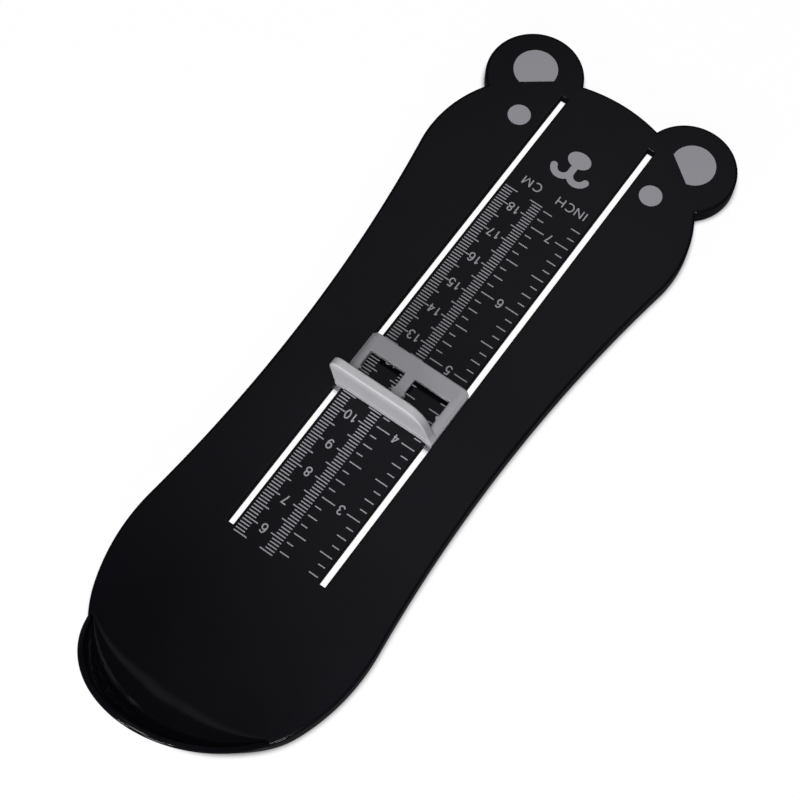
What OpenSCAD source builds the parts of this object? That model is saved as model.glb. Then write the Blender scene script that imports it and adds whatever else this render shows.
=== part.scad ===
// Foot measuring board for small children: a bear-shaped deck with a heel cup, and a slider
// that runs in two slots. Millimetres, +Z up, +Y from the heel towards the ears. The origin is on
// the ground, in the middle of the board's length and width.

/* [Board outline] */
// Width across the heel at its widest
heel_w = 76.5; // [74:0.5:92]
// Width of the deck at its narrowest, between heel and head
waist_w = 69.8; // [58:0.2:71]
// Width across the head at its widest
head_w = 84.5; // [70:0.5:104]
// Length from the widest line of the heel to the widest line of the head
heel_to_head = 145.9; // [118:0.1:180]
// Radius of the round end of the heel
heel_end_r = 36.6; // [34:0.1:37.2]
// Radius of the arc at each side of the heel
heel_side_r = 61; // [52:0.5:75]
// Radius of the arc at each side of the head
head_side_r = 38; // [32:0.5:40]
// Radius of the arc over the top of the head
head_top_r = 48.2; // [44:0.2:60]
// Height of the head's top above its widest line
head_rise = 38.4; // [34:0.2:42]
// Radius of each ear
ear_r = 14.75; // [12:0.25:18]
// Distance between the centres of the ears
ear_spacing = 53.6; // [50:0.2:62]
// Height of the ears' centres above the head's widest line
ear_rise = 31.4; // [28:0.2:34]

/* [Board section] */
// Height of the deck above the ground
deck_h = 5.5; // [5:0.1:9]
// Thickness of the deck
deck_t = 3.2; // [2.4:0.1:3.6]
// Thickness of the skirt around the edge
skirt_t = 2; // [1.4:0.1:3]
// Thickness of the rib under the deck
rib_t = 1.2; // [0.8:0.1:2]
// Gap between the ground and the foot of the rib
rib_clear = 0.5; // [0.2:0.1:1]
// Gap between the rib and the sides of the keeper
rib_side = 0.6; // [0.3:0.1:2]
// Distance that the rib stands off the ends of the slots
rib_run = 2; // [1:0.1:4]
// Radius of the rib's corners, inside
rib_corner_r = 1; // [0.5:0.1:2]

/* [Heel cup] */
// Lean of the cup's wall, outwards from upright
cup_lean = 13.1; // [5:0.1:20]
// Slope of the rim, from where it leaves the deck up to the back
rim_slope = 47.7; // [30:0.1:52]
// Distance from the widest line of the heel back to where the rim leaves the deck
rim_back = 29.8; // [26:0.2:36]
// Thickness of the cup's wall, measured square to it
cup_t = 1.7; // [1.4:0.1:2.6]
// Radius of the fillet between the deck and the inside of the cup
cup_fillet_r = 10; // [5:0.5:14]

/* [Slots] */
// Distance between the middles of the two slots
slot_spacing = 30.4; // [28:0.2:36]
// Width of each slot
slot_w = 2.2; // [1.8:0.1:3]
// Distance from the widest line of the heel to the near end of the slots
slot_heel_gap = 12.5; // [8:0.5:25]
// Distance from the far end of the slots to the top of the head
slot_toe_gap = 8.2; // [5:0.2:14]

/* [Slider] */
// Distance from the near end of the slots to the slider as it stands
slider_at = 49.25; // [2:0.25:80]
// Length of the slider's frame along the slots
frame_l = 18.6; // [16:0.1:30]
// Height of the frame's top above the deck
frame_h = 3; // [2.6:0.1:5]
// Thickness of the frame's toe bar and middle bar
bar_t = 1.5; // [1:0.1:2]
// Length of the toe bar along the slots
toe_bar_l = 5.6; // [3:0.1:8]
// Length of the web between the fin and the windows
web_l = 0.8; // [0.4:0.1:2]
// Width of the middle bar between the two windows
mid_bar_w = 3.2; // [2:0.1:5]
// Width of each side rail
rail_w = 3; // [2.4:0.1:4.5]
// Radius of the rounded shoulder along each side rail
shoulder_r = 2.5; // [1:0.1:2.5]
// Radius of the frame's corners at the toe bar
corner_r = 1; // [0.2:0.1:2.5]
// Width of the frame outside the middles of the slots, on each side
rail_out = 1; // [0.8:0.1:2]
// Reach of each pointer into its window
pointer_l = 0.8; // [0.4:0.1:1.4]
// Distance from the fin's face to the pointers
pointer_at = 7.2; // [5:0.1:9]
// Clearance between the slider and the deck, above and below
deck_gap = 0.15; // [0.1:0.05:0.3]

/* [Fin] */
// Height of the fin above the deck
fin_h = 12.7; // [9:0.1:20]
// Thickness of the fin
fin_t = 2.7; // [1.8:0.1:3.5]
// Lean of the fin's left end, outwards from upright
fin_lean_left = 12; // [0:0.5:20]
// Lean of the fin's right end, inwards from upright
fin_lean_right = 19.5; // [0:0.5:25]
// Radius of the fin's upper left corner
fin_left_r = 3.8; // [0.5:0.1:4.5]
// Radius of the fin's upper right corner
fin_right_r = 5.3; // [1:0.1:6]

/* [Legs and keeper] */
// Side clearance of each leg in its slot
leg_gap = 0.1; // [0.05:0.05:0.3]
// Distance that each leg stands back from the ends of the frame
leg_inset = 0.2; // [0.1:0.1:2]
// Thickness of the keeper under the deck
keeper_t = 1.1; // [0.8:0.1:1.2]
// Width of the keeper outside each slot
keeper_out = 2.6; // [2:0.1:5]
// Length of the snap tab at the foot of each leg
tab_l = 8; // [5:0.5:12]
// Reach of the snap tab's hook under the keeper
hook_l = 0.5; // [0.3:0.1:0.6]
// Clearance around the snap tab in the keeper
tab_gap = 0.15; // [0.1:0.05:0.3]

/* [Hidden] */
$fn = 96;
eps = 0.01;
hair = 0.02;
lap = 0.5;

// The outline's stations, measured from the widest line of the heel. The waist arc is the one that
// runs smoothly into the heel's side arc and the head's side arc. Its station solves a quadratic in
// the two steps of half width, from the waist to the heel and from the waist to the head.
step_heel = (heel_w - waist_w) / 2;
step_head = (head_w - waist_w) / 2;
ratio = step_head / step_heel;
spread = 2 * step_head * (head_side_r - heel_side_r) - step_head * step_head + step_head * step_heel;
reach = heel_to_head * heel_to_head - spread;
waist_y = reach / (heel_to_head + sqrt(heel_to_head * heel_to_head - (1 - ratio) * reach));
waist_r = (waist_y * waist_y + step_heel * step_heel) / (2 * step_heel) - heel_side_r;
waist_x = waist_w / 2 + waist_r;
heel_side_x = heel_side_r - heel_w / 2;
head_side_x = head_w / 2 - head_side_r;
heel_end_y = -sqrt(pow(heel_side_r - heel_end_r, 2) - heel_side_x * heel_side_x);
head_top = heel_to_head + head_rise;
ear_top = heel_to_head + ear_rise + ear_r;

// Sines of the slopes of the lines that join the centres of arcs that meet
heel_end_rise = heel_end_y / (heel_side_r - heel_end_r);
heel_waist_rise = waist_y / (heel_side_r + waist_r);
head_waist_rise = (heel_to_head - waist_y) / (head_side_r + waist_r);

// The cup's outer wall is a cone, and its rim lies in a sloping plane
flare = tan(cup_lean);
rise = tan(rim_slope);
cup_back = (heel_end_y - heel_end_r - flare * rise * -rim_back) / (1 - flare * rise);
cup_h = rise * (-rim_back - cup_back);
fillet_sink = 0.05;

// The widest line of the heel lies this far along Y
heel_y = -(cup_back + ear_top) / 2;

slot_y = heel_y + slot_heel_gap;
slot_l = head_top - slot_toe_gap - slot_heel_gap;
slider_y = slot_y + slider_at;
leg_w = slot_w - 2 * leg_gap;
leg_x = slot_spacing / 2;
frame_x = leg_x + rail_out;
window_x = frame_x - rail_w;
window_l = frame_l - toe_bar_l - fin_t - web_l;
keeper_x = leg_x + slot_w / 2 + keeper_out;
keeper_top = deck_h - deck_t - deck_gap;
keeper_foot = keeper_top - keeper_t;
rib_x = keeper_x + rib_side;

// The board's outline, drawn in by a distance. Each arc lies a hair inside the last one, and each
// piece laps over the next, so that arcs that run smoothly into each other still cross cleanly.
module outline(inset) {
    heel_cut = heel_end_y + heel_end_rise * (heel_end_r - inset);
    heel_top = heel_waist_rise * (heel_side_r - inset);
    head_cut = heel_to_head - head_waist_rise * (head_side_r - inset);
    translate([0, heel_y]) {
        translate([0, heel_end_y]) circle(heel_end_r - inset);
        intersection() {
            translate([heel_side_x, 0]) circle(heel_side_r - inset - hair);
            translate([-heel_side_x, 0]) circle(heel_side_r - inset - hair);
            translate([-heel_w, heel_cut]) square([2 * heel_w, heel_top - heel_cut]);
        }
        difference() {
            translate([-waist_x, heel_top - lap]) square([2 * waist_x, head_cut - heel_top + 2 * lap]);
            translate([waist_x, waist_y]) circle(waist_r + inset + 2 * hair, $fn = 8 * $fn);
            translate([-waist_x, waist_y]) circle(waist_r + inset + 2 * hair, $fn = 8 * $fn);
        }
        head(inset, head_cut);
    }
}

// The head above a line across the outline: its top arc, its side arcs and the ears, which cover
// the places where those arcs meet
module head(inset, cut) {
    intersection() {
        translate([0, head_top - head_top_r]) circle(head_top_r - inset);
        translate([-ear_spacing / 2, cut]) square([ear_spacing, head_w]);
    }
    for (side = [0, 1]) {
        mirror([side, 0]) intersection() {
            translate([head_side_x, heel_to_head]) circle(head_side_r - inset - hair);
            translate([ear_spacing / 2 - ear_r / 3, cut]) square(head_w);
        }
        mirror([side, 0]) translate([ear_spacing / 2, heel_to_head + ear_rise]) circle(ear_r - inset);
    }
}

// Half of the cup's section: the leaning wall and the fillet that runs into the deck
module cup_section() {
    wall_x = cup_t / cos(cup_lean);
    inner = heel_end_r - wall_x;
    toe = cup_fillet_r * tan((90 - cup_lean) / 2);
    bend_z = toe * cos(cup_lean);
    difference() {
        polygon([
            [inner - toe, 0],
            [heel_end_r, 0],
            [heel_end_r + cup_h * flare, cup_h],
            [inner + cup_h * flare, cup_h],
            [inner + bend_z * flare, bend_z]
        ]);
        translate([inner - toe, cup_fillet_r - fillet_sink]) circle(cup_fillet_r);
    }
}

// The cup's whole ring, cut by the sloping plane of its rim
module cup() {
    intersection() {
        translate([0, heel_y + heel_end_y, deck_h]) rotate([0, 0, 180]) {
            rotate_extrude(angle = 180) cup_section();
        }
        translate([-heel_w, heel_y - rim_back, deck_h]) rotate([90, 0, 90]) {
            linear_extrude(2 * heel_w) polygon([[0, 0], [-heel_w, heel_w * rise], [-heel_w, 0]]);
        }
    }
}

// The rib under the deck: one loop around both slots, which stiffens the deck and guides the keeper
module rib() {
    translate([0, 0, rib_clear]) linear_extrude(deck_h - deck_t - rib_clear + eps) difference() {
        rib_loop(rib_t);
        rib_loop(0);
    }
}

// A rectangle with rounded corners, grown outwards from the inside of the rib
module rib_loop(grow) {
    half_w = rib_x + grow;
    start = slot_y - rib_run - grow;
    length = slot_l + 2 * (rib_run + grow);
    corner = rib_corner_r + grow;
    translate([-half_w, start + corner]) square([2 * half_w, length - 2 * corner]);
    translate([corner - half_w, start]) square([2 * (half_w - corner), length]);
    for (x = [corner - half_w, half_w - corner], y = [start + corner, start + length - corner]) {
        translate([x, y]) circle(corner);
    }
}

module board() {
    color("#17171c") difference() {
        union() {
            linear_extrude(deck_h) outline(0);
            cup();
        }
        difference() {
            translate([0, 0, -eps]) linear_extrude(deck_h - deck_t + eps) outline(skirt_t);
            rib();
        }
        for (side = [-1, 1]) {
            translate([side * leg_x - slot_w / 2, slot_y, -eps]) cube([slot_w, slot_l, 2 * deck_h]);
        }
    }
}

// The fin's face, with the deck at z = 0
module fin_face() {
    left_z = fin_h - fin_left_r;
    right_z = fin_h - fin_right_r;
    left_x = -frame_x - left_z * tan(fin_lean_left) + fin_left_r / cos(fin_lean_left);
    right_x = frame_x - right_z * tan(fin_lean_right) - fin_right_r / cos(fin_lean_right);
    polygon([
        [-frame_x, deck_gap],
        [frame_x, deck_gap],
        [right_x + fin_right_r * cos(fin_lean_right), right_z + fin_right_r * sin(fin_lean_right)],
        [right_x, fin_h],
        [left_x, fin_h],
        [left_x - fin_left_r * cos(fin_lean_left), left_z + fin_left_r * sin(-fin_lean_left)]
    ]);
    translate([left_x, left_z]) circle(fin_left_r);
    translate([right_x, right_z]) circle(fin_right_r);
}

// The saddle's section across the slots: two rails with rounded shoulders, joined over the top
module saddle_section() {
    difference() {
        union() {
            translate([-frame_x, deck_gap]) square([2 * frame_x, frame_h - shoulder_r - deck_gap]);
            translate([shoulder_r - frame_x, deck_gap]) {
                square([2 * (frame_x - shoulder_r), frame_h - deck_gap]);
            }
            for (side = [-1, 1]) {
                translate([side * (frame_x - shoulder_r), frame_h - shoulder_r]) circle(shoulder_r);
            }
        }
        translate([-window_x, -frame_h]) square([2 * window_x, 2 * frame_h - bar_t]);
        translate([-frame_x, deck_gap - frame_h]) square([2 * frame_x, frame_h]);
    }
}

// The frame seen from above, with its corners rounded at the toe bar
module frame_plan() {
    corner_y = frame_l - corner_r;
    translate([-frame_x, 0]) square([2 * frame_x, corner_y]);
    translate([corner_r - frame_x, 0]) square([2 * (frame_x - corner_r), frame_l]);
    for (side = [-1, 1]) {
        translate([side * (frame_x - corner_r), corner_y]) circle(corner_r);
    }
}

// One window of the frame, with its two pointers left standing
module window() {
    window_w = window_x - mid_bar_w / 2;
    difference() {
        translate([mid_bar_w / 2, fin_t + web_l]) square([window_w, window_l]);
        translate([mid_bar_w / 2, pointer_at]) circle(pointer_l, $fn = 4);
        translate([window_x, pointer_at]) circle(pointer_l, $fn = 4);
    }
}

// A leg, and the snap tab at its foot that hooks under the keeper
module leg() {
    leg_foot = keeper_top + eps;
    tab_foot = keeper_foot - tab_gap - hook_l;
    tab_y = (frame_l - tab_l) / 2;
    translate([leg_x - leg_w / 2, leg_inset, leg_foot]) {
        cube([leg_w, frame_l - 2 * leg_inset, deck_h + frame_h / 2 - leg_foot]);
    }
    translate([leg_x - leg_w / 2, tab_y + tab_l, 0]) rotate([90, 0, 0]) {
        linear_extrude(tab_l) polygon([
            [0, leg_foot + eps],
            [leg_w, leg_foot + eps],
            [leg_w, keeper_foot - tab_gap],
            [leg_w + hook_l, keeper_foot - tab_gap],
            [leg_w, tab_foot],
            [0, tab_foot]
        ]);
    }
}

module slider() {
    color("#c2c2c6") translate([0, slider_y, 0]) {
        difference() {
            intersection() {
                translate([0, frame_l, deck_h]) rotate([90, 0, 0]) {
                    linear_extrude(frame_l) saddle_section();
                }
                translate([0, 0, deck_h]) linear_extrude(frame_h) frame_plan();
            }
            translate([0, 0, deck_h - eps]) linear_extrude(2 * frame_h) {
                window();
                mirror([1, 0]) window();
            }
        }
        translate([0, fin_t, deck_h]) rotate([90, 0, 0]) linear_extrude(fin_t) fin_face();
        leg();
        mirror([1, 0, 0]) leg();
    }
}

module keeper() {
    hole_l = tab_l + 2 * tab_gap;
    hole_w = leg_w + 2 * tab_gap;
    color("#b8b8bc") translate([0, slider_y, keeper_foot]) difference() {
        translate([-keeper_x, 0, 0]) cube([2 * keeper_x, frame_l, keeper_t]);
        for (side = [-1, 1]) {
            translate([side * leg_x - hole_w / 2, (frame_l - hole_l) / 2, -eps]) {
                cube([hole_w, hole_l, keeper_t + 2 * eps]);
            }
        }
    }
}

board();
slider();
keeper();
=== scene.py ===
# %% [markdown]
# # A child's foot measuring board
#
# The object is two plastic mouldings that slide on each other. A glossy black board, shaped like a
# bear seen from above, holds the child's heel in a raised cup. A pale grey slider runs in two slots,
# and its fin is pushed against the toes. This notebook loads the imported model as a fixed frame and
# then builds every visible surface around it: the board, the print, the slider and its keeper.

# %% Load the frame
import math

import bmesh
import bpy
import numpy as np
from mathutils import Matrix, Vector
from mathutils.geometry import tessellate_polygon


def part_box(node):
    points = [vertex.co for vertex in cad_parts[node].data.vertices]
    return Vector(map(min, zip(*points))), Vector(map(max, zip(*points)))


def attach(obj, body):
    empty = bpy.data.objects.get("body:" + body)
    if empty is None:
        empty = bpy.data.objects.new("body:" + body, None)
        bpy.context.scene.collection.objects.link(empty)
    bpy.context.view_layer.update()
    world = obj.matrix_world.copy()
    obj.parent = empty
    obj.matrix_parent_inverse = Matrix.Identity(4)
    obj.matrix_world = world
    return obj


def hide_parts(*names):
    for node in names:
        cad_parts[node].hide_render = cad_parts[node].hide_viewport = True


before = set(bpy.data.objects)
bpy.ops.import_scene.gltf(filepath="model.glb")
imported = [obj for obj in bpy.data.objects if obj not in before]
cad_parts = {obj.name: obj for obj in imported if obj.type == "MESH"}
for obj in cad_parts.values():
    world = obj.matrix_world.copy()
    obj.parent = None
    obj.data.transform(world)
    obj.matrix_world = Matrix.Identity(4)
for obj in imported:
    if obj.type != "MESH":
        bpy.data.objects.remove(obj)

MM = 0.001
board_high = np.array(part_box("board")[1]) / MM
heel_to_head, ear_rise, ear_r = 145.9, 31.4, 14.75
heel_y = board_high[1] - (heel_to_head + ear_rise + ear_r)
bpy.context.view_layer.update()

# %% [markdown]
# ## The camera
#
# The photograph looks down on the board from the heel's side, a little from the right. The camera
# was matched to the printed scales, so it is given as three turns and a distance. Its target is a
# point on the deck close to the middle of the centimetre scale.

# %% Camera
deck_z = 5.5
target_from_heel = 76.5
target = Vector((0, heel_y + target_from_heel, deck_z)) * MM
target_in_view = Vector((3.754, 6.827, -553.184)) * MM
turn, tilt, roll = 31.464, 22.943, 4.131
sensor_mm = 36.0
focal_px, photo_px = 1994.93, 800

rotation = (
    Matrix.Rotation(math.radians(turn), 3, "Z")
    @ Matrix.Rotation(math.radians(tilt), 3, "X")
    @ Matrix.Rotation(math.radians(roll), 3, "Z")
)
camera = bpy.data.objects.new("camera", bpy.data.cameras.new("camera"))
bpy.context.collection.objects.link(camera)
camera.matrix_world = Matrix.Translation(target - rotation @ target_in_view) @ rotation.to_4x4()
camera.data.sensor_width = sensor_mm
camera.data.lens = sensor_mm * (focal_px / photo_px)
camera.data.clip_start, camera.data.clip_end = 0.02, 20
bpy.context.scene.camera = camera
print("camera at", [round(c / MM) for c in camera.location], "mm, lens", round(camera.data.lens, 2), "mm")

# %% [markdown]
# ## Helpers for materials
#
# Every colour below is written as an sRGB hex value, the way a paint or plastic chart gives it.
# Blender mixes light in linear values, so one function turns the one into the other. A second small
# function adds a shader node with its settings and its links, which keeps each material short.

# %% Colour and node helpers
def linear(hex_colour):
    """sRGB hex to linear: below 0.04045 a straight division, above it a power of 2.4."""
    steps = np.array([int(hex_colour[i:i + 2], 16) for i in (1, 3, 5)]) / 255
    values = np.where(steps <= 0.04045, steps / 12.92, ((steps + 0.055) / 1.055) ** 2.4)
    return (*values.tolist(), 1.0)


def add(tree, kind, inputs=None, **settings):
    """Adds one node. An input is a value, or another node's output socket that is linked to it."""
    node = tree.nodes.new("ShaderNode" + kind)
    for name, value in settings.items():
        setattr(node, name, value)
    for name, value in (inputs or {}).items():
        if isinstance(value, bpy.types.NodeSocket):
            tree.links.new(value, node.inputs[name])
        else:
            node.inputs[name].default_value = value
    return node


def new_material(name):
    """A material with an empty tree and the object coordinates that its patterns follow. finish_material
    adds its output.
    """
    material = bpy.data.materials.new(name)
    material.use_nodes = True
    tree = material.node_tree
    tree.nodes.clear()
    place = add(tree, "TexCoord").outputs["Object"]
    return material, tree, place


def finish_material(tree, shader):
    """Links the shader to the material's output."""
    add(tree, "OutputMaterial", {"Surface": shader.outputs[0]})


def two_tone(tree, pattern, low, low_hex, high, high_hex):
    """A ramp between two colours as a pattern's value goes from low to high. Gives the colour's socket."""
    ramp = add(tree, "ValToRGB", {"Fac": pattern})
    for stop, position, hex_colour in zip(ramp.color_ramp.elements, (low, high), (low_hex, high_hex)):
        stop.position = position
        stop.color = linear(hex_colour)
    return ramp.outputs["Color"]


def per_mm(size_mm):
    """A noise texture's scale for lumps of this size, as its coordinates are metres."""
    return 1 / (size_mm * MM)


print("black #101015 is", [round(v, 4) for v in linear("#101015")[:3]], "in linear light")

# %% [markdown]
# ## The black plastic
#
# The board is injection moulded ABS with carbon black in it, from a polished tool. ABS has an index
# of refraction of about 1.54. A polished tool gives a mirror-like skin that still waves very
# slightly, because the plastic shrinks unevenly as it cools. Handling adds hairline scratches that
# only show as a softer shine. The colour itself hardly varies, so the detail is in the gloss. This
# board mirrors less than ABS usually does, so the specular level is well below its usual 0.5.

# %% Material: gloss black ABS
def gloss_black_abs():
    """Black ABS from a polished tool: slow colour drift, patchy gloss, flow waves, hairline scratches."""
    material, tree, place = new_material("gloss_black_abs")
    drift = add(tree, "TexNoise", {"Vector": place, "Scale": per_mm(60), "Detail": 2.0})
    colour = two_tone(tree, drift.outputs["Fac"], 0.35, "#0b0b10", 0.65, "#101015")
    handled = add(tree, "TexNoise", {"Vector": place, "Scale": per_mm(9), "Detail": 5.0, "Roughness": 0.6})
    # Real hairlines are a few hundredths of a millimetre wide. They are drawn about 0.15 mm wide to show.
    long_way = add(tree, "Mapping", {"Vector": place, "Rotation": (0, 0, 0.5), "Scale": (1, 0.04, 1)})
    lines = add(tree, "TexNoise", {"Vector": long_way.outputs[0], "Scale": per_mm(0.9), "Detail": 3.0})
    hairline = add(tree, "MapRange", {"Value": lines.outputs["Fac"], "From Min": 0.66, "From Max": 0.74})
    gloss = add(tree, "MapRange", {"Value": handled.outputs["Fac"], "From Min": 0.3, "From Max": 0.75,
                                   "To Min": 0.10, "To Max": 0.17})
    rough = add(tree, "Math", {0: hairline.outputs[0], 1: 0.10, 2: gloss.outputs[0]},
                operation="MULTIPLY_ADD")
    waves = add(tree, "TexNoise", {"Vector": place, "Scale": per_mm(14), "Detail": 1.0})
    bump = add(tree, "Bump", {"Height": waves.outputs["Fac"], "Distance": 0.02 * MM, "Strength": 1.0})
    shader = add(tree, "BsdfPrincipled", {"Base Color": colour, "Roughness": rough.outputs[0],
                                          "IOR": 1.54, "Specular IOR Level": 0.22,
                                          "Normal": bump.outputs[0]})
    finish_material(tree, shader)
    return material


black_plastic = gloss_black_abs()
print("made", black_plastic.name)

# %% [markdown]
# ## The pale grey plastic and the ink
#
# The slider is the same kind of plastic in a milky light grey, from a fine blasted tool. Light goes
# a little way into it, so its edges look soft, and the blasted skin spreads each reflection. The
# print is pad-printed ink: matt, a few hundredths of a millimetre thick, and not quite even.

# %% Materials: satin grey ABS and printed ink
def satin_grey_abs():
    """Milky grey ABS from a blasted tool: fine grain in the skin, a little scatter below it."""
    material, tree, place = new_material("satin_grey_abs")
    cloud = add(tree, "TexNoise", {"Vector": place, "Scale": per_mm(12), "Detail": 3.0})
    colour = two_tone(tree, cloud.outputs["Fac"], 0.3, "#aeaeb2", 0.7, "#b6b6ba")
    # The top of the fin is painted lighter: a painted glow that stands in for light entering the milky fin
    # and coming out again along its top.
    height = add(tree, "SeparateXYZ", {"Vector": place}).outputs["Z"]
    near_top = add(tree, "MapRange", {"Value": height, "From Min": 14.5 * MM, "From Max": 18.0 * MM})
    painted_top_glow = add(tree, "Mix", {0: near_top.outputs[0], 6: colour, 7: linear("#cbcbce")}, data_type="RGBA")
    # The blasted grain is about 0.05 mm, and is drawn at 0.3 mm so that it shows.
    grain = add(tree, "TexNoise", {"Vector": place, "Scale": per_mm(0.3), "Detail": 3.0, "Roughness": 0.7})
    rough = add(tree, "MapRange", {"Value": grain.outputs["Fac"], "From Min": 0.3, "From Max": 0.7,
                                   "To Min": 0.50, "To Max": 0.60})
    bump = add(tree, "Bump", {"Height": grain.outputs["Fac"], "Distance": 0.006 * MM, "Strength": 1.0})
    shader = add(tree, "BsdfPrincipled", {"Base Color": painted_top_glow.outputs[2], "Roughness": rough.outputs[0],
                                          "IOR": 1.54, "Specular IOR Level": 0.2,
                                          "Subsurface Weight": 0.15,
                                          "Subsurface Radius": (1.0, 1.0, 1.0),
                                          "Subsurface Scale": 0.6 * MM, "Normal": bump.outputs[0]})
    finish_material(tree, shader)
    return material


def printed_ink():
    """Matt light grey ink: a film that is a little thinner in places, over the black plastic."""
    material, tree, place = new_material("light_grey_ink")
    # Pinholes in a pad print are a few hundredths of a millimetre, and are drawn at 0.25 mm.
    speckle = add(tree, "TexNoise", {"Vector": place, "Scale": per_mm(0.25), "Detail": 2.0})
    colour = two_tone(tree, speckle.outputs["Fac"], 0.25, "#9a9aa0", 0.5, "#a8a8ae")
    bump = add(tree, "Bump", {"Height": speckle.outputs["Fac"], "Distance": 0.004 * MM, "Strength": 1.0})
    shader = add(tree, "BsdfPrincipled", {"Base Color": colour, "Roughness": 0.55,
                                          "IOR": 1.48, "Normal": bump.outputs[0]})
    finish_material(tree, shader)
    return material


grey_plastic = satin_grey_abs()
ink = printed_ink()
print("made", grey_plastic.name, "and", ink.name)

# %% [markdown]
# ## From arrays to a mesh
#
# The shapes are worked out as arrays of points in millimetres. One function turns points and faces
# into a finished object: in metres, at the origin, smooth shaded, with doubled points merged and all
# faces outwards. It also says which body the piece rides on, and counts the edges that are not closed.

# %% Mesh helper
weld_mm = 0.0005


def build(name, points, faces, material, body, crease=40.0):
    """Makes the object from points in mm and a list of faces, merges doubles and turns faces outwards."""
    mesh = bpy.data.meshes.new(name)
    mesh.from_pydata((np.asarray(points, float) * MM).tolist(), [], faces)
    work = bmesh.new()
    work.from_mesh(mesh)
    bmesh.ops.remove_doubles(work, verts=work.verts, dist=weld_mm * MM)
    bmesh.ops.recalc_face_normals(work, faces=work.faces)
    open_edges = sum(not edge.is_manifold for edge in work.edges)
    work.to_mesh(mesh)
    work.free()
    mesh.shade_smooth()
    mesh.set_sharp_from_angle(angle=math.radians(crease))
    mesh.materials.append(material)
    piece = bpy.data.objects.new(name, mesh)
    bpy.context.collection.objects.link(piece)
    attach(piece, body)
    mesh.calc_loop_triangles()
    sizes = f"{len(mesh.vertices)} points, {len(mesh.loop_triangles)} triangles"
    print(f"{name}: {sizes}, {open_edges} edges without exactly two faces")
    return piece


def grid_faces(rows, columns, first=0):
    """Quads of a grid of rows by columns whose columns close into a ring."""
    index = first + np.arange(rows * columns).reshape(rows, columns)
    here, after = index, np.roll(index, -1, axis=1)
    quads = np.stack([here[:-1], after[:-1], after[1:], here[1:]], axis=-1)
    return quads.reshape(-1, 4).tolist()


def fill_faces(loops, first_points):
    """Triangles of a flat region between an outer loop and its holes. Each loop is points by 3."""
    index = np.concatenate([start + np.arange(len(loop)) for loop, start in zip(loops, first_points)])
    triangles = tessellate_polygon([[Vector(point) for point in loop] for loop in loops])
    return [[int(index[i]) for i in triangle] for triangle in triangles]


# %% [markdown]
# ## The bear's outline
#
# Seen from above, the edge is a chain of arcs: the round end of the heel, a long arc at each side of
# the heel, a hollow waist, the sides of the head, the ears and the top of the head. Arcs that run
# smoothly into each other meet on the line between their centres. The ears cut into the head at a
# sharp inner corner, which moves when the outline is drawn in. So the outline is a function of the
# inset: every round arc loses the inset from its radius, the hollow waist gains it, and the inner
# corners are found again as the crossing of two circles.

# %% The outline as a function of its inset
heel_w, waist_w, head_w = 76.5, 69.8, 84.43
heel_end_r, heel_side_r = 36.6, 61.0
head_side_r, head_top_r, head_rise = 38.0, 48.2, 38.4
ear_spacing = 53.6

step_heel, step_head = (heel_w - waist_w) / 2, (head_w - waist_w) / 2
spread = 2 * step_head * (head_side_r - heel_side_r) - step_head**2 + step_head * step_heel
reach = heel_to_head**2 - spread
waist_y = reach / (heel_to_head + math.sqrt(heel_to_head**2 - (1 - step_head / step_heel) * reach))
waist_r = (waist_y**2 + step_heel**2) / (2 * step_heel) - heel_side_r

heel_side = np.array([heel_w / 2 - heel_side_r, 0])
heel_end = np.array([0, -math.sqrt((heel_side_r - heel_end_r) ** 2 - heel_side[0] ** 2)])
waist = np.array([waist_w / 2 + waist_r, waist_y])
head_side = np.array([head_w / 2 - head_side_r, heel_to_head])
ear = np.array([ear_spacing / 2, heel_to_head + ear_rise])
head_top = np.array([0, heel_to_head + head_rise - head_top_r])


def towards(start, end):
    """Direction from one point to another, as an angle from +X."""
    return np.arctan2(end[..., 1] - start[..., 1], end[..., 0] - start[..., 0])


def crossing(centre_a, radius_a, centre_b, radius_b, side):
    """Where two circles cross: by the cosine rule, on the left (1) or the right (-1) of a towards b."""
    gap = np.hypot(*(centre_b - centre_a))
    swing = np.arccos((gap**2 + radius_a**2 - radius_b**2) / (2 * gap * radius_a))
    angle = towards(centre_a, centre_b) + side * swing
    return centre_a + radius_a[:, None] * np.stack([np.cos(angle), np.sin(angle)], axis=1)


# The stations lie about this far apart in mm. The last three arcs turn through about these radians.
step = 0.8
side_turn, ear_turn, top_turn = 0.7, 3.7, 0.3
heel_joint = towards(heel_side, heel_end)
waist_low, waist_high = towards(heel_side, waist), towards(head_side, waist)
arc_lengths = [heel_end_r * (heel_joint + math.pi / 2), heel_side_r * (waist_low - heel_joint),
               waist_r * (waist_low - waist_high), head_side_r * side_turn, ear_r * ear_turn,
               head_top_r * top_turn]
arc_counts = [int(length / step) for length in arc_lengths]
arc_starts = np.cumsum([0] + arc_counts)
share = np.concatenate([np.arange(count) / count for count in arc_counts] + [[1.0]])
share[arc_starts[-2]:] = np.linspace(0, 1, arc_counts[-1] + 1)
stations = len(share)


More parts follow.
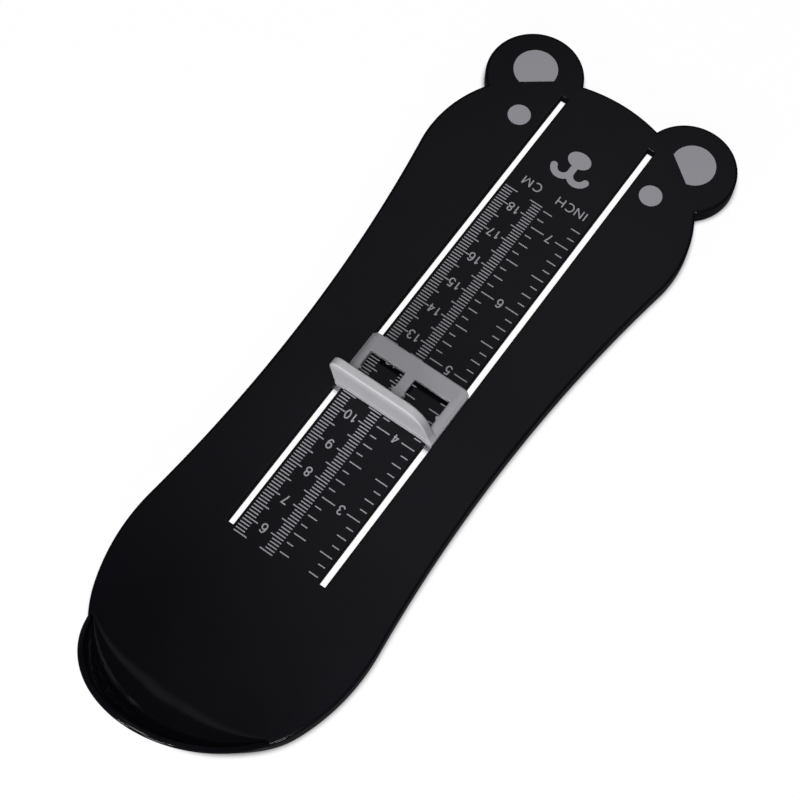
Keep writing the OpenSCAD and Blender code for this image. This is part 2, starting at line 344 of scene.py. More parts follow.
def half_outline(inset):
    """Right half of the outline, heel to head top. inset has one value for each station."""
    inset = np.broadcast_to(np.asarray(inset, float), stations)
    low = crossing(head_side, head_side_r - inset, ear, ear_r - inset, -1)
    high = crossing(ear, ear_r - inset, head_top, head_top_r - inset, -1)
    arcs = [
        (heel_end, heel_end_r - inset, -math.pi / 2, heel_joint),
        (heel_side, heel_side_r - inset, heel_joint, waist_low),
        (waist, waist_r + inset, waist_low + math.pi, waist_high + math.pi),
        (head_side, head_side_r - inset, waist_high, towards(head_side, low)),
        (ear, ear_r - inset, towards(ear, low), towards(ear, high)),
        (head_top, head_top_r - inset, towards(head_top, high), math.pi / 2),
    ]
    points = np.zeros((stations, 2))
    for number, (centre, radius, start, end) in enumerate(arcs):
        last = stations if number == len(arcs) - 1 else arc_starts[number + 1]
        part = slice(arc_starts[number], last)
        angle = (start + share * (end - start))[part]
        points[part] = centre + radius[part, None] * np.stack([np.cos(angle), np.sin(angle)], axis=1)
    points[-1, 0] = 0
    return points + [0, heel_y]


print("outline stations in a half:", stations, "waist radius", round(waist_r, 1), "mm")

# %% [markdown]
# ## The section of the board's edge, and the heel cup
#
# Around most of the board the edge is plain: the deck, a small round, the skirt, its foot, and back
# up inside to the underside. Around the heel the wall goes on upwards as a cup. Its outside is a
# cone that leans out, and its rim rises in a sloping plane, highest at the back. Both sections have
# the same number of points, so the edge can change smoothly from one to the other where the rim
# leaves the deck. A section is a row of (outwards, upwards) pairs for every station.

# %% Cup heights and the two sections
cup_lean = math.radians(13.1)
flare, rise = math.tan(cup_lean), math.tan(math.radians(47.7))
slant = math.hypot(1, flare)
rim_start = -29.8
cup_t, cup_w = 1.7, 1.7 * slant
edge_r, rim_out_r, rim_in_r = 0.8, 0.7, 0.4
fillet_share, fillet_most = 0.55, 12.0
skirt_t, deck_t, foot_r, under_r = 2.0, 3.2, 0.3, 0.5
lean_full, lean_none = math.radians(35), math.radians(65)
# Rows of the plain section that pair with the cup's rows: a strip of deck, three insets, one on the skirt.
deck_strip, flat_insets, skirt_row = 1.6, (1.4, 1.2, 1.0), 1.6
# The last row lies half way between these two, on the flat underside.
under_near, under_far = 0.6, 2.6
cup_starts = 1.2

in_heel_end = np.arange(stations) <= arc_starts[1]
around = np.where(in_heel_end, share * (heel_joint + math.pi / 2), math.pi / 2)
around[arc_starts[1]] = heel_joint + math.pi / 2
rim_h = rise * (rim_start - heel_end[1] + heel_end_r * np.cos(around)) / (1 - rise * flare * np.cos(around))
rim_h = np.where(in_heel_end, np.clip(rim_h, 0, None), 0)


def smooth(value, low, high):
    """Goes from 0 at low to 1 at high, flat at both ends: 3 t squared less 2 t cubed."""
    t = np.clip((value - low) / (high - low), 0, 1)
    return t * t * (3 - 2 * t)


def pairs(out, up):
    """(outwards, upwards) pairs for every station, from values that may be the same for all of them."""
    return np.stack(np.broadcast_arrays(out, up, np.zeros(stations))[:2], axis=-1)


def arc(centre_out, centre_up, radius, start, end, count):
    """Points on an arc of the section: angles in degrees from outwards."""
    angle = np.radians(np.linspace(start, end, count))[:, None]
    return pairs(centre_out + radius * np.cos(angle), centre_up + radius * np.sin(angle))


def straight(out_a, up_a, out_b, up_b, count):
    """Points between two ends, without the ends themselves."""
    t = (np.arange(1, count + 1) / (count + 1))[:, None]
    return pairs(out_a + (out_b - out_a) * t, up_a + (up_b - up_a) * t)


def sections():
    """The plain section and the cup's section, mixed by the height of the rim: rows, stations, 2."""
    lean_deg = math.degrees(cup_lean)
    tuck = flare * deck_z * smooth(around, lean_none, lean_full)
    fillet = np.minimum(fillet_share * rim_h, fillet_most)
    toe = cup_w + fillet * math.tan((math.pi / 2 - cup_lean) / 2)
    wall_low, wall_top = fillet * (1 - math.sin(cup_lean)), rim_h - rim_in_r
    inner_c = -cup_w + flare * wall_top + rim_in_r * slant
    outer_c = flare * (rim_h - rim_out_r) - rim_out_r * slant
    first, second, third = flat_insets
    cup = np.concatenate([
        straight(-toe - deck_strip, 0, -toe, 0, 1),
        arc(-toe, fillet, fillet, -90, -lean_deg, 12),
        straight(-cup_w + flare * wall_low, wall_low, -cup_w + flare * wall_top, wall_top, 2),
        arc(inner_c, wall_top, rim_in_r, 180 - lean_deg, 90, 6),
        arc(outer_c, rim_h - rim_out_r, rim_out_r, 90, -lean_deg, 8),
        straight(flare * rim_h, rim_h, 0, 0, 1),
        straight(0, 0, -tuck, -deck_z, 2),
    ])
    plain = np.concatenate([
        straight(-cup_w - deck_strip, 0, -cup_w, 0, 1),
        straight(-cup_w, 0, -first, 0, 12),
        straight(-first, 0, -second, 0, 2),
        straight(-second, 0, -third, 0, 6),
        arc(-edge_r, -edge_r, edge_r, 90, 0, 8),
        straight(0, -edge_r, 0, -skirt_row, 1),
        straight(0, -skirt_row, -tuck, -deck_z, 2),
    ])
    foot = np.concatenate([
        arc(-tuck - foot_r, -deck_z + foot_r, foot_r, 0, -90, 4),
        arc(-tuck - skirt_t + foot_r, -deck_z + foot_r, foot_r, -90, -180, 4),
        arc(-skirt_t - under_r, -deck_t - under_r, under_r, 0, 90, 5),
        straight(-skirt_t - under_far, -deck_t, -skirt_t - under_near, -deck_t, 1),
    ])
    mix = smooth(rim_h, 0.0, cup_starts)[None, :, None]
    return np.concatenate([plain + (cup - plain) * mix, foot])


edge = sections()
print("edge section:", edge.shape[0], "points; rim", round(rim_h.max(), 2), "mm above the deck")

# %% [markdown]
# ## The board
#
# The edge sections are carried around the outline. That leaves the flat parts: the deck with its two
# slots, and the underside with a rib around the slots. The slots and the rib are rounded rectangles
# with a section of their own. The flat parts are filled between those loops, and everything is
# merged into one skin. That skin is not closed: the fill of the underside leaves part of it open,
# which shows in the count of edges that is printed for this piece. The deck and the edge are whole.

# %% Build the board
slot_x, slot_w, slot_corner_r, slot_edge_r = 15.2, 2.2, 0.25, 0.2
slot_heel_gap, slot_toe_gap = 12.5, 8.2
slot_low = heel_y + slot_heel_gap
slot_high = heel_y + heel_to_head + head_rise - slot_toe_gap
keeper_out, rib_side = 2.6, 0.6
rib_t, rib_clear, rib_run, rib_corner_r = 1.2, 0.5, 2.0, 1.0
rib_x = slot_x + slot_w / 2 + keeper_out + rib_side
rib_root_r, rib_foot_r = 0.3, 0.2
# Each loop ends in a strip of flat ground, this far from the slot's side or from the rib's inside.
slot_strip, rib_outer_strip, rib_inner_strip = 0.7, rib_t + 0.9, 0.6


def rounded_rectangle(low, high, corner_r, grow, samples=6):
    """A rectangle's outline with round corners, grown outwards: each corner is a quarter circle."""
    low, high = np.array(low, float), np.array(high, float)
    turns = np.radians(np.linspace(0, 90, samples))
    corners = [(high[0], high[1], 1, 1), (low[0], high[1], -1, 1), (low[0], low[1], -1, -1),
               (high[0], low[1], 1, -1)]
    points = []
    for number, (x, y, side_x, side_y) in enumerate(corners):
        centre = np.array([x - side_x * corner_r, y - side_y * corner_r])
        angle = turns + number * math.pi / 2
        points.append(centre + (corner_r + grow) * np.stack([np.cos(angle), np.sin(angle)], axis=1))
    return np.concatenate(points)


def ring(low, high, corner_r, section):
    """A rounded rectangle carried through a section of (grow, height) pairs: rows, points, 3."""
    rows = []
    for grow, height in section:
        flat = rounded_rectangle(low, high, corner_r, grow)
        rows.append(np.column_stack([flat, np.full(len(flat), deck_z + height)]))
    return np.array(rows)


def quarter(centre_grow, centre_height, radius, start, end, count=5):
    """Section points on an arc, in degrees from the outward side."""
    angle = np.radians(np.linspace(start, end, count))
    return np.column_stack([centre_grow + radius * np.cos(angle), centre_height + radius * np.sin(angle)])


def last_row(grid, start):
    """Number of the first point in a grid's last row."""
    return start + (grid.shape[0] - 1) * grid.shape[1]


def make_board():
    """Edge rows around the outline, slot and rib rings, and the flat fills between them."""
    rows = []
    for out_up in edge:
        flat = half_outline(-out_up[:, 0])
        half = np.column_stack([flat, deck_z + out_up[:, 1]])
        rows.append(np.concatenate([half, half[-2:0:-1] * [-1, 1, 1]]))
    rim = np.array(rows)
    slot_section = np.concatenate([
        [[slot_strip, 0.0]],
        quarter(slot_edge_r, -slot_edge_r, slot_edge_r, 90, 180),
        quarter(slot_edge_r, -deck_t + slot_edge_r, slot_edge_r, 180, 270),
        [[slot_strip, -deck_t]],
    ])
    slots = [ring((middle - slot_w / 2, slot_low), (middle + slot_w / 2, slot_high), slot_corner_r,
                  slot_section) for middle in (-slot_x, slot_x)]
    rib_h = -deck_z + rib_clear
    rib = ring((-rib_x, slot_low - rib_run), (rib_x, slot_high + rib_run), rib_corner_r, np.concatenate([
        [[rib_outer_strip, -deck_t]],
        quarter(rib_t + rib_root_r, -deck_t - rib_root_r, rib_root_r, 90, 180),
        quarter(rib_t - rib_foot_r, rib_h + rib_foot_r, rib_foot_r, 0, -90),
        quarter(rib_foot_r, rib_h + rib_foot_r, rib_foot_r, -90, -180),
        quarter(-rib_root_r, -deck_t - rib_root_r, rib_root_r, 0, 90),
        [[-rib_inner_strip, -deck_t]],
    ]))
    points, faces, starts = [], [], []
    total = 0
    for grid in (rim, *slots, rib):
        starts.append(total)
        faces += grid_faces(grid.shape[0], grid.shape[1], total)
        points.append(grid.reshape(-1, 3))
        total += len(points[-1])
    ends = [last_row(grid, start) for grid, start in zip((rim, *slots, rib), starts)]
    faces += fill_faces([rim[0], slots[0][0], slots[1][0]], starts[:3])
    faces += fill_faces([rim[-1], rib[0]], [ends[0], starts[3]])
    faces += fill_faces([rib[-1], slots[0][-1], slots[1][-1]], [ends[3], ends[1], ends[2]])
    piece = build("bear_board", np.concatenate(points), faces, black_plastic, "board")
    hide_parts("board")
    return piece


board = make_board()

# %% [markdown]
# ## The print
#
# The scales, the figures, the unit words and the bear's simple face are ink on the deck. Each is
# made as a film of its own, a few hundredths of a millimetre thick, that sits in the deck's skin. A
# film is a flat loop of points given a top, a bottom and a wall. Every place on the print is given on
# the centimetre scale, whose zero lies where the back of the heel rests.

# %% Films of ink
ink_above, ink_below = 0.02, 0.03
ink_top, ink_bottom = deck_z + ink_above, deck_z - ink_below
zero_from_heel = 43.5
zero_y = heel_y - zero_from_heel
inch = 25.4


def film(loop, lift=0.0):
    """A flat loop of (x, y) as a thin closed slab: top face, bottom face and the wall between."""
    loop = np.asarray(loop, float)
    count = len(loop)
    top = np.column_stack([loop, np.full(count, ink_top + lift)])
    bottom = np.column_stack([loop, np.full(count, ink_bottom)])
    turn_on = np.roll(np.arange(count), -1)
    walls = np.stack([np.arange(count) + count, turn_on + count, turn_on, np.arange(count)], axis=1)
    faces = [list(range(count)), list(range(2 * count - 1, count - 1, -1))] + walls.tolist()
    return np.concatenate([top, bottom]), faces


def films(name, slabs):
    """Joins several films into one piece that rides on the board."""
    points, faces, total = [], [], 0
    for slab_points, slab_faces in slabs:
        points.append(slab_points)
        faces += [[total + i for i in face] for face in slab_faces]
        total += len(slab_points)
    return build(name, np.concatenate(points), faces, ink, "board", crease=30)


mitre_most = 1.5


def ribbon(path, width, closed=False, lift=0.0):
    """A stroke: the path is set off to both sides along its normal, and the band between is a slab. At
    a corner the sides are set off further, by 1 over the cosine of half the turn, up to mitre_most."""
    path = np.asarray(path, float)
    if closed:
        along = np.roll(path, -1, axis=0) - np.roll(path, 1, axis=0)
        stretch = np.ones(len(path))
    else:
        steps = np.diff(path, axis=0)
        steps /= np.linalg.norm(steps, axis=1)[:, None]
        before, after = np.vstack([steps[:1], steps]), np.vstack([steps, steps[-1:]])
        along = before + after
        stretch = np.minimum(1 / np.sqrt((1 + (before * after).sum(axis=1)) / 2), mitre_most)
    along /= np.linalg.norm(along, axis=1)[:, None]
    across = np.column_stack([-along[:, 1], along[:, 0]]) * (width / 2 * stretch)[:, None]
    corners = [(path - across, ink_bottom), (path + across, ink_bottom),
               (path + across, ink_top + lift), (path - across, ink_top + lift)]
    points = np.stack([np.column_stack([flat, np.full(len(flat), z)]) for flat, z in corners], axis=1)
    rows = len(path)
    if closed:
        points, rows = np.vstack([points, points[:1]]), rows + 1
    faces = grid_faces(rows, 4)
    if not closed:
        faces += [[3, 2, 1, 0], [4 * rows - 4, 4 * rows - 3, 4 * rows - 2, 4 * rows - 1]]
    return points.reshape(-1, 3), faces


mark_t = 0.34
first_mm, last_mm = 55, 185
outer_cm_x, outer_cm_long, outer_cm_short = -13.2, -8.9, -10.2
inner_cm_x, inner_cm_long, inner_cm_short = -0.35, -4.5, -3.3
centimetre_marks = []
for millimetre in range(first_mm, last_mm + 1):
    y = zero_y + millimetre
    long_mark = millimetre % 5 == 0
    outer_end = outer_cm_long if long_mark else outer_cm_short
    inner_end = inner_cm_long if long_mark else inner_cm_short
    centimetre_marks.append(ribbon([(outer_cm_x, y), (outer_end, y)], mark_t))
    centimetre_marks.append(ribbon([(inner_end, y), (inner_cm_x, y)], mark_t))
# Where the two marks of an eighth of an inch end: whole inches, halves and quarters, then the others.
first_eighth, last_eighth = 18, 58
inner_inch_x, outer_inch_x = 0.6, 13.15
reach_of_eighth = {0: (4.9, 8.9), 4: (4.45, 9.25), 2: (3.55, 10.2), 6: (3.55, 10.2)}
other_reach = (2.65, 10.95)
inch_marks = []
for eighth in range(first_eighth, last_eighth + 1):
    y = zero_y + eighth * inch / 8
    left, right = reach_of_eighth.get(eighth % 8, other_reach)
    inch_marks.append(ribbon([(inner_inch_x, y), (left, y)], mark_t))
    inch_marks.append(ribbon([(right, y), (outer_inch_x, y)], mark_t))
films("centimetre_marks", centimetre_marks)
films("inch_marks", inch_marks)

# %% [markdown]
# ## Figures and unit words
#
# The figures and words are plain upright letters without serifs, drawn with one stroke width. Each
# is a few strokes on a unit square: straight runs and parts of ellipses. A stroke becomes a ribbon
# of ink. They are read from the head's side, so they are turned half way round.

# %% Figures and words
def bow(x, y, radius_x, radius_y, start, end, count=20):
    """Part of an ellipse on the unit square, with its angles in degrees."""
    angle = np.radians(np.linspace(start, end, count))
    return np.column_stack([x + radius_x * np.cos(angle), y + radius_y * np.sin(angle)])


def loop(x, y, radius_x, radius_y, count=36):
    """A whole ellipse, without its last point."""
    return bow(x, y, radius_x, radius_y, 0, 360, count + 1)[:-1]


six = [(True, loop(0.5, 0.31, 0.48, 0.31)), (False, bow(0.55, 0.5, 0.53, 0.5, 42, 196))]
strokes = {
    "0": [(True, loop(0.5, 0.5, 0.46, 0.5))],
    "1": [(False, [(0.66, 1.0), (0.66, 0.0)]), (False, [(0.66, 1.0), (0.48, 0.86), (0.26, 0.75)])],
    "2": [(False, np.vstack([bow(0.5, 0.72, 0.45, 0.28, 165, -30), [(0.02, 0.0), (1.0, 0.0)]]))],
    "3": [(False, bow(0.46, 0.76, 0.42, 0.24, 165, -75)), (False, bow(0.46, 0.27, 0.5, 0.27, 80, -165))],
    "4": [(False, [(0.74, 1.0), (0.02, 0.3), (1.0, 0.3)]), (False, [(0.74, 1.0), (0.74, 0.0)])],
    "5": [(False, [(0.92, 1.0), (0.24, 1.0), (0.12, 0.5)]), (False, bow(0.46, 0.33, 0.52, 0.33, 135, -160))],
    "6": six,
    "7": [(False, [(0.0, 1.0), (1.0, 1.0), (0.72, 0.64), (0.5, 0.3), (0.4, 0.0)])],
    "8": [(True, loop(0.5, 0.76, 0.4, 0.24)), (True, loop(0.5, 0.26, 0.49, 0.26))],
    "9": [(closed, 1 - np.array(path)) for closed, path in six],
    "C": [(False, bow(0.54, 0.5, 0.52, 0.5, 48, 312))],
    "H": [(False, [(0, 0), (0, 1)]), (False, [(1, 0), (1, 1)]), (False, [(0, 0.52), (1, 0.52)])],
    "I": [(False, [(0.5, 0), (0.5, 1)])],
    "M": [(False, [(0, 0), (0, 1)]), (False, [(0, 1), (0.5, 0.06), (1, 1)]), (False, [(1, 1), (1, 0)])],
    "N": [(False, [(0, 0), (0, 1)]), (False, [(0, 1), (1, 0)]), (False, [(1, 0), (1, 1)])],
}
stroke_w, stroke_drop = 0.4, 0.003
figure_h, figure_w, figure_pitch = 3.05, 1.85, 2.2
figure_low = 0.1


def letter(sign, centre_x, centre_y, width, height):
    """One sign: its strokes scaled to the box of their centre lines, turned half way round and placed."""
    slabs = []
    for number, (closed, path) in enumerate(strokes[sign]):
        unit = np.asarray(path, float) - 0.5
        placed = [centre_x, centre_y] - unit * [width - stroke_w, height - stroke_w]
        slabs.append(ribbon(placed, stroke_w, closed, -stroke_drop * number))
    return slabs


def figures(number, centre_x, centre_y):
    """A number of one or two figures, spaced by figure_pitch, the first figure at the larger x."""
    signs = str(number)
    slabs = []
    for place, sign in enumerate(signs):
        x = centre_x + ((len(signs) - 1) / 2 - place) * figure_pitch
        slabs += letter(sign, x, centre_y, figure_w, figure_h)
    return slabs


cm_figures_x, inch_figures_x = -6.8, 6.9
centimetre_figures, inch_figures = [], []
for number in range(6, 19):
    centimetre_figures += figures(number, cm_figures_x, zero_y + 10 * number - figure_low)
for number in range(3, 8):
    inch_figures += figures(number, inch_figures_x, zero_y + inch * number - figure_low)
films("centimetre_figures", centimetre_figures)
films("inch_figures", inch_figures)
units_at, cap_h = 189.6, 3.1
unit_words = []
for sign, x, width in (("C", -5.1, 2.8), ("M", -8.47, 2.95), ("I", 11.5, 0.5), ("N", 9.33, 2.45),
                       ("C", 6.2, 2.8), ("H", 3.07, 2.45)):
    unit_words += letter(sign, x, zero_y + units_at, width, cap_h)
films("unit_words", unit_words)

# %% [markdown]
# ## The bear's face
#
# The face is a plain pattern of discs and arcs: two eyes, a patch in each ear cut off by a straight
# chord, an oval nose, and below it a stem that splits into two half rings. Overlapping films sit at
# slightly different heights, so that no two faces lie in the same plane.

# %% Face
def disc(x, y, radius_x, radius_y, count=64, lift=0.0):
    """An ellipse filled with ink."""
    return film(loop(x, y, radius_x, radius_y, count), lift)


film_drop = 0.003
eye_x, eye_at, eye_r = 22.95, 206.7, 3.42
patch_x, patch_at, patch_r = 27.7, 222.6, 6.65
chord_a, chord_b = (21.1, 222.3), (29.2, 216.0)
nose_at, nose_w, nose_h = 204.2, 3.65, 2.75
smile_at, smile_r, line_w = 199.6, 2.75, 2.1
stem_below, stem_above, smile_start, smile_end = 1.6, 1.5, 183, 346

patch_start, patch_end = (math.atan2(y - patch_at, x - patch_x) for x, y in (chord_b, chord_a))
sweep = np.linspace(patch_start, patch_end % (2 * math.pi), 72)
patch = np.column_stack([patch_x + patch_r * np.cos(sweep), zero_y + patch_at + patch_r * np.sin(sweep)])
face = []
for side in (-1, 1):
    face.append(disc(side * eye_x, zero_y + eye_at, eye_r, eye_r))
    face.append(film(patch * [side, 1]))
face.append(disc(0, zero_y + nose_at, nose_w, nose_h))
stem = [(0, zero_y + smile_at - stem_below), (0, zero_y + nose_at - stem_above)]
face.append(ribbon(stem, line_w, lift=-film_drop))
smile = bow(smile_r, zero_y + smile_at, smile_r, smile_r, smile_start, smile_end, 40)
for side, lift in ((1, -2 * film_drop), (-1, -3 * film_drop)):
    path = smile * [side, 1]
    face.append(ribbon(path, line_w, lift=lift))
    face.append(disc(*path[-1], line_w / 2, line_w / 2, 32, lift - 2 * film_drop))
films("bear_face", face)

# %% [markdown]
# ## The slider
#
# The slider is one moulding with a saddle, a fin, two windows and two legs. Its edges are softly
# rounded everywhere and the fin runs into the saddle with a fillet. That is hard to get from
# extrusions and bevels, and easy from a distance formula: a function that gives, for any point in
# space, how far it lies from the skin, negative inside. Rounded edges are a property of how two
# distances are combined. The skin is then the surface where the function is zero.

# %% Combining distances
def rounded_and(a, b, radius):
    """Inside both. Near the edge where both are close to zero, the skin is an arc of this radius."""
    inner_a, inner_b = np.maximum(a + radius, 0), np.maximum(b + radius, 0)
    return np.minimum(np.maximum(a, b), -radius) + np.hypot(inner_a, inner_b)


def filleted_or(a, b, radius):
    """Inside either. The inner corner between the two is filled with an arc of this radius."""
    outer_a, outer_b = np.maximum(radius - a, 0), np.maximum(radius - b, 0)
    return np.maximum(np.minimum(a, b), radius) - np.hypot(outer_a, outer_b)


def span(value, low, high):
    """Distance from a slab between two planes."""
    return np.abs(value - (low + high) / 2) - (high - low) / 2


def slab_rectangle(u, v, low, high, radius):
    """Distance from a rectangle with round corners, in the plane of a section or a plan."""
    beyond_u = np.abs(u - (low[0] + high[0]) / 2) - (high[0] - low[0]) / 2 + radius
    beyond_v = np.abs(v - (low[1] + high[1]) / 2) - (high[1] - low[1]) / 2 + radius
    outside = np.hypot(np.maximum(beyond_u, 0), np.maximum(beyond_v, 0))
    return outside + np.minimum(np.maximum(beyond_u, beyond_v), 0) - radius


def skin(name, distance, low, high, cell, material, body):
    """Meshes distance(point) = 0 on a grid of cells: one point in each cell that the skin crosses,
    moved onto the skin, and one quad around each grid edge that the skin crosses."""
    low, high = np.array(low) - 2 * cell, np.array(high) + 2 * cell
    counts = np.ceil((high - low) / cell).astype(int) + 1
    axes = [low[i] + cell * np.arange(counts[i]) for i in range(3)]
    value = np.empty(counts)
    for i, x in enumerate(axes[0]):
        plane = np.stack(np.meshgrid([x], axes[1], axes[2], indexing="ij"), axis=-1)
        value[i] = distance(plane)[0]
    inside = value < 0
    corner = [(i, j, k) for i in (0, 1) for j in (0, 1) for k in (0, 1)]
    cells = counts - 1

    def view(array, offset):
        return array[tuple(slice(offset[a], offset[a] + cells[a]) for a in range(3))]

    count_inside = sum(view(inside, offset).astype(int) for offset in corner)
    active = (count_inside > 0) & (count_inside < 8)
    total, weight = np.zeros((*cells, 3)), np.zeros(cells)
    for a in corner:
        for b in corner:
            if sum(b) - sum(a) != 1 or any(b[i] < a[i] for i in range(3)):
                continue
            value_a, value_b = view(value, a), view(value, b)
            crossed = active & ((value_a < 0) != (value_b < 0))
            t = value_a[crossed] / (value_a[crossed] - value_b[crossed])
            total[crossed] += np.array(a) + t[:, None] * (np.array(b) - a)
            weight[crossed] += 1
    where = np.argwhere(active)
    points = low + cell * (where + total[active] / weight[active][:, None])
    number = np.full(cells, -1)
    number[active] = np.arange(len(where))
    nudge, passes, least_slope = 0.02, 4, 0.25
    for _ in range(passes):
        here = distance(points)
        slope = np.stack([(distance(points + shift) - distance(points - shift)) / (2 * nudge)
                          for shift in np.eye(3) * nudge], axis=-1)
        step_to = here[:, None] * slope / np.maximum((slope**2).sum(axis=-1), least_slope)[:, None]
        points -= np.clip(step_to, -cell, cell)
    faces = []
    for axis in range(3):
        u, v = (axis + 1) % 3, (axis + 2) % 3
        low_side = inside[tuple(slice(0, -1) if a == axis else slice(None) for a in range(3))]
        high_side = inside[tuple(slice(1, None) if a == axis else slice(None) for a in range(3))]
        edges = np.argwhere(low_side != high_side)
        leaving = low_side[tuple(edges.T)]
        around_edge = []
        for du, dv in ((-1, -1), (0, -1), (0, 0), (-1, 0)):
            offset = np.zeros(3, int)
            offset[u], offset[v] = du, dv
            around_edge.append(number[tuple((edges + offset).T)])
        quads = np.stack(around_edge, axis=1)
        quads[~leaving] = quads[~leaving][:, ::-1]
        faces.append(quads)
    return build(name, points, np.concatenate(faces).tolist(), material, body, crease=180)


print("distance helpers ready")

# %% [markdown]
# ## The slider's parts as distances
#
# The saddle is the overlap of its section across the slots and its plan, less the windows. The fin
# is a plate whose face is a leaning trapezium with two different top corners. The legs are thin
# plates in the slots, each with a hooked tab at its foot that snaps under the keeper.

# %% Slider
slider_low, slider_high = (np.array(corner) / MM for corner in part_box("slider"))
frame_y = slider_low[1]
frame_l, frame_h, bar_t, toe_bar_l, web_l = 18.6, 3.0, 1.5, 5.6, 0.8
mid_bar_w, rail_w, shoulder_r, corner_r = 3.2, 3.0, 2.5, 1.0
frame_x = slot_x + 1.0
window_x = frame_x - rail_w
pointer_l, pointer_at, deck_gap = 0.8, 7.2, 0.15
fin_h, fin_t = 12.7, 2.7
lean_left, lean_right = math.radians(12), math.radians(19.5)
fin_left_r, fin_right_r = 3.8, 5.3
leg_w, leg_inset, tab_l, hook_l = 2.0, 0.2, 8.0, 0.5
keeper_t, keeper_foot, tab_gap = 1.1, 1.05, 0.15
soft_r, fin_edge_r, fin_fillet_r = 0.25, 0.4, 0.5
inner_r, tip_r, tab_edge_r, slider_cell = 0.3, 0.1, 0.15, 0.24


def fin_distance(x, y, z):
    """The fin: two leaning ends, a flat top with a round corner at each end, and two flat faces."""
    left = -(x + frame_x) * math.cos(lean_left) - z * math.sin(lean_left)
    right = (x - frame_x) * math.cos(lean_right) + z * math.sin(lean_right)
    top = z - fin_h
    face = rounded_and(left, top, fin_left_r)
    face = np.maximum(face, rounded_and(right, top, fin_right_r))
    face = np.maximum(face, deck_gap - z)
    return rounded_and(face, span(y, 0, fin_t), fin_edge_r)


def saddle_distance(x, y, z):
    """The saddle: rails down to the deck, a thin bridge between them, rounded shoulders, two windows."""
    section = slab_rectangle(x, z, (-frame_x, -frame_h), (frame_x, frame_h), shoulder_r)
    section = np.maximum(section, deck_gap - z)
    hollow = slab_rectangle(x, z, (-window_x, -frame_h), (window_x, frame_h - bar_t), inner_r)
    section = rounded_and(section, -hollow, soft_r)
    plan = slab_rectangle(x, y, (-frame_x, -frame_l), (frame_x, frame_l), corner_r)
    plan = np.maximum(plan, -y)
    side = np.abs(x)
    window = slab_rectangle(side, y, (mid_bar_w / 2, fin_t + web_l), (window_x, frame_l - toe_bar_l),
                            inner_r)
    for pointer_x in (mid_bar_w / 2, window_x):
        reach_x, reach_y = np.abs(side - pointer_x), np.abs(y - pointer_at)
        window = rounded_and(window, -(reach_x + reach_y - pointer_l) / math.sqrt(2), tip_r)
    body = rounded_and(section, plan, soft_r)
    return rounded_and(body, -window, soft_r)


def leg_distance(x, y, z):
    """A leg in its slot, its tab and the hook, which is a wedge that points outwards."""
    side = np.abs(x) - slot_x
    leg = slab_rectangle(side, y, (-leg_w / 2, leg_inset), (leg_w / 2, frame_l - leg_inset), inner_r)
    leg = rounded_and(leg, span(z, keeper_foot + keeper_t - deck_z, frame_h / 2), tip_r)
    tab_foot = keeper_foot - tab_gap - hook_l - deck_z
    tab_y = span(y, (frame_l - tab_l) / 2, (frame_l + tab_l) / 2)
    tab = np.maximum(span(side, -leg_w / 2, leg_w / 2), span(z, tab_foot, frame_h / 2))
    hook_top = keeper_foot - tab_gap - deck_z
    slope = (side - leg_w / 2 - (z - tab_foot)) / math.sqrt(2)
    hook = np.maximum(np.maximum(slope, z - hook_top), np.maximum(-side, tab_foot - z))
    tab = rounded_and(np.minimum(tab, hook), tab_y, tab_edge_r)
    return np.minimum(leg, tab)


def slider_distance(point):
    """The whole slider: fin and saddle joined by a fillet, and the legs."""
    x, y, z = point[..., 0], point[..., 1] - frame_y, point[..., 2] - deck_z
    upper = filleted_or(fin_distance(x, y, z), saddle_distance(x, y, z), fin_fillet_r)
    upper = rounded_and(upper, deck_gap - z, tip_r)
    return np.minimum(upper, leg_distance(x, y, z))


slider = skin("toe_slider", slider_distance, slider_low, slider_high, slider_cell, grey_plastic, "slider")
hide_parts("slider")

# %% [markdown]
# ## The keeper
#
# A flat strip under the deck keeps the slider from lifting out. It is wider than the slots, and the
# tabs of the legs come through two holes in it. It is made with the same distance formula.

# %% Keeper
keeper_low, keeper_high = (np.array(corner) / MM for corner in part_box("keeper"))
plan_r, plate_r, keeper_cell = 1.0, 0.2, 0.2


def keeper_distance(point):
    """A plate with rounded corners and edges, less two holes with a small clearance round the tabs."""
    x, y, z = point[..., 0], point[..., 1] - keeper_low[1], point[..., 2]
    plan = slab_rectangle(x, y, (keeper_low[0], 0), (keeper_high[0], keeper_high[1] - keeper_low[1]), plan_r)
    hole_w, hole_l = leg_w + 2 * tab_gap, tab_l + 2 * tab_gap
    hole = slab_rectangle(np.abs(x), y, (slot_x - hole_w / 2, (frame_l - hole_l) / 2),
                          (slot_x + hole_w / 2, (frame_l + hole_l) / 2), tip_r)
    return rounded_and(rounded_and(plan, span(z, keeper_low[2], keeper_high[2]), plate_r), -hole, tip_r)


keeper = skin("under_keeper", keeper_distance, keeper_low, keeper_high, keeper_cell, grey_plastic, "slider")
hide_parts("keeper")

# %% [markdown]
# ## The studio
#
# The board lies on a white sweep. The largest lamp stands close to the line of the camera, so that the
# shadows it makes hide behind what makes them. Two low lamps in front light the face of the fin, and
# a small one at the right draws a thin line on the edges. The deck is a dark mirror, and what it
# shows is the ceiling: a dim world with one paler patch, above the head. The floor is plain white for
# the camera and almost dark in reflections, and a soft contact shadow round the board is painted on it.

# %% Floor
# Reflections see this share of the glow that the camera sees, so that the skirt stays black.
mirrored_share = 0.02
seen_strength = 0.965
shade_mm, floor_half = 1.7, 4.0


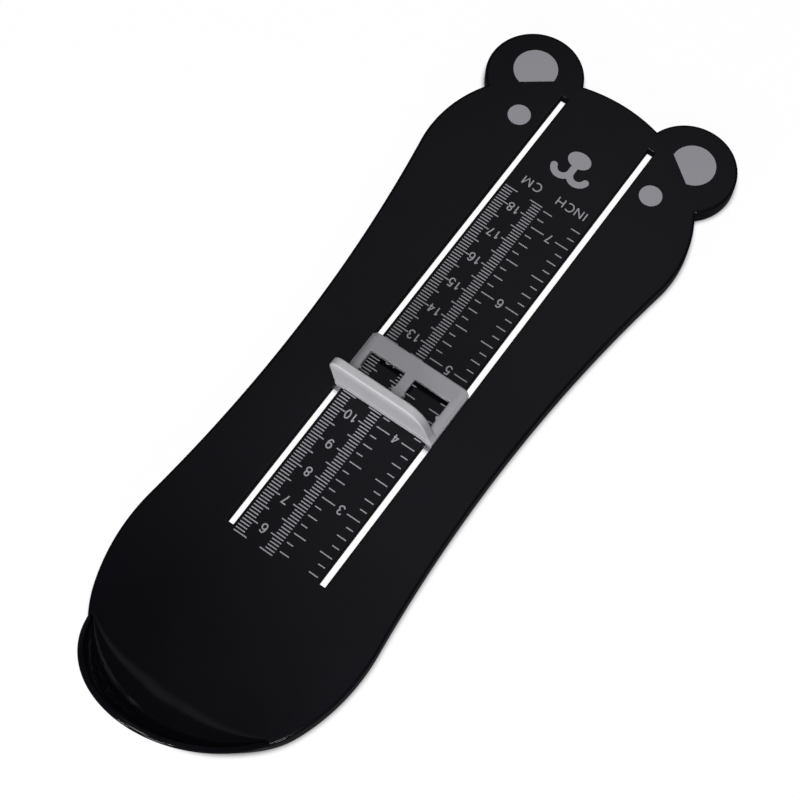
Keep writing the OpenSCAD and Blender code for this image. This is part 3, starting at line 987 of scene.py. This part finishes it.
def white_sweep():
    """White paper: matt, with a glow of its own for the eye, dimmed by a painted contact shadow near the
    object.
    """
    material, tree, place = new_material("white_paper_sweep")
    path = add(tree, "LightPath")
    through = add(tree, "Math", {0: path.outputs["Is Glossy Ray"], 1: path.outputs["Is Transmission Ray"]},
                  operation="MAXIMUM")
    seen = add(tree, "Math", {0: through.outputs[0], 1: mirrored_share, 2: path.outputs["Is Camera Ray"]},
               operation="MULTIPLY_ADD")
    # Painted contact shadow: the glow is dimmed where the floor's ambient occlusion finds the object close.
    shade = add(tree, "AmbientOcclusion", {"Distance": shade_mm * MM}, samples=8)
    open_sky = add(tree, "MapRange", {"Value": shade.outputs["AO"], "From Min": 0.25, "From Max": 0.92})
    glow_now = add(tree, "Math", {0: seen.outputs[0], 1: open_sky.outputs[0]}, operation="MULTIPLY")
    strength = add(tree, "Math", {0: glow_now.outputs[0], 1: seen_strength}, operation="MULTIPLY")
    fibre = add(tree, "TexNoise", {"Vector": place, "Scale": per_mm(1.5), "Detail": 4.0})
    tone = add(tree, "MapRange", {"Value": fibre.outputs["Fac"], "To Min": 0.04, "To Max": 0.055})
    matt = add(tree, "BsdfDiffuse", {"Color": tone.outputs[0]})
    glow = add(tree, "Emission", {"Color": (1, 1, 1, 1), "Strength": strength.outputs[0]})
    both = add(tree, "AddShader", {0: matt.outputs[0], 1: glow.outputs[0]})
    finish_material(tree, both)
    return material


floor_mesh = bpy.data.meshes.new("floor")
floor_mesh.from_pydata([(-floor_half, -floor_half, 0), (floor_half, -floor_half, 0),
                        (floor_half, floor_half, 0), (-floor_half, floor_half, 0)], [], [(0, 1, 2, 3)])
floor_mesh.materials.append(white_sweep())
floor = bpy.data.objects.new("floor", floor_mesh)
bpy.context.collection.objects.link(floor)
print("floor", 2 * floor_half, "m wide")


# %% Lamps and world
def softbox(name, azimuth, elevation, distance, width, height, watts):
    """An area lamp that looks at the middle of the board from an azimuth (0 is +X) and an elevation, in
    degrees. Its distance, width and height are in metres."""
    lamp = bpy.data.lights.new(name, "AREA")
    lamp.shape = "RECTANGLE"
    lamp.size, lamp.size_y = width, height
    lamp.energy = watts
    turned, raised = math.radians(azimuth), math.radians(elevation)
    level = math.cos(raised)
    away = Vector((math.cos(turned) * level, math.sin(turned) * level, math.sin(raised)))
    holder = bpy.data.objects.new(name, lamp)
    facing_in = away.to_track_quat("Z", "Y").to_matrix().to_4x4()
    holder.matrix_world = Matrix.Translation(away * distance) @ facing_in
    bpy.context.collection.objects.link(holder)


softbox("front_lamp", -97.7, 16, 1.2, 0.30, 0.10, 5.2)
softbox("front_right_lamp", -60, 16, 1.2, 0.50, 0.08, 5.2)
softbox("edge_lamp", -30, 30, 1.2, 0.10, 0.10, 1.2)
softbox("overhead_lamp", -60, 69, 1.3, 0.5, 0.5, 7.6)

world = bpy.data.worlds.new("studio")
world.use_nodes = True
sky = world.node_tree
direction = add(sky, "TexCoord").outputs["Generated"]
panel = Vector((-0.10, 0.42, 1.0)).normalized()
facing = add(sky, "VectorMath", {0: direction, 1: panel}, operation="DOT_PRODUCT")
dim = add(sky, "MapRange", {"Value": facing.outputs["Value"], "From Min": 0.955, "From Max": 1.0,
                            "To Min": 0.06, "To Max": 0.42}, interpolation_type="SMOOTHSTEP")
sky.nodes["Background"].inputs["Color"].default_value = (0.93, 0.94, 1.0, 1)
sky.links.new(dim.outputs[0], sky.nodes["Background"].inputs["Strength"])
bpy.context.scene.world = world
bpy.context.scene.view_settings.view_transform = "Standard"
print("floor, four lamps and a dim world")
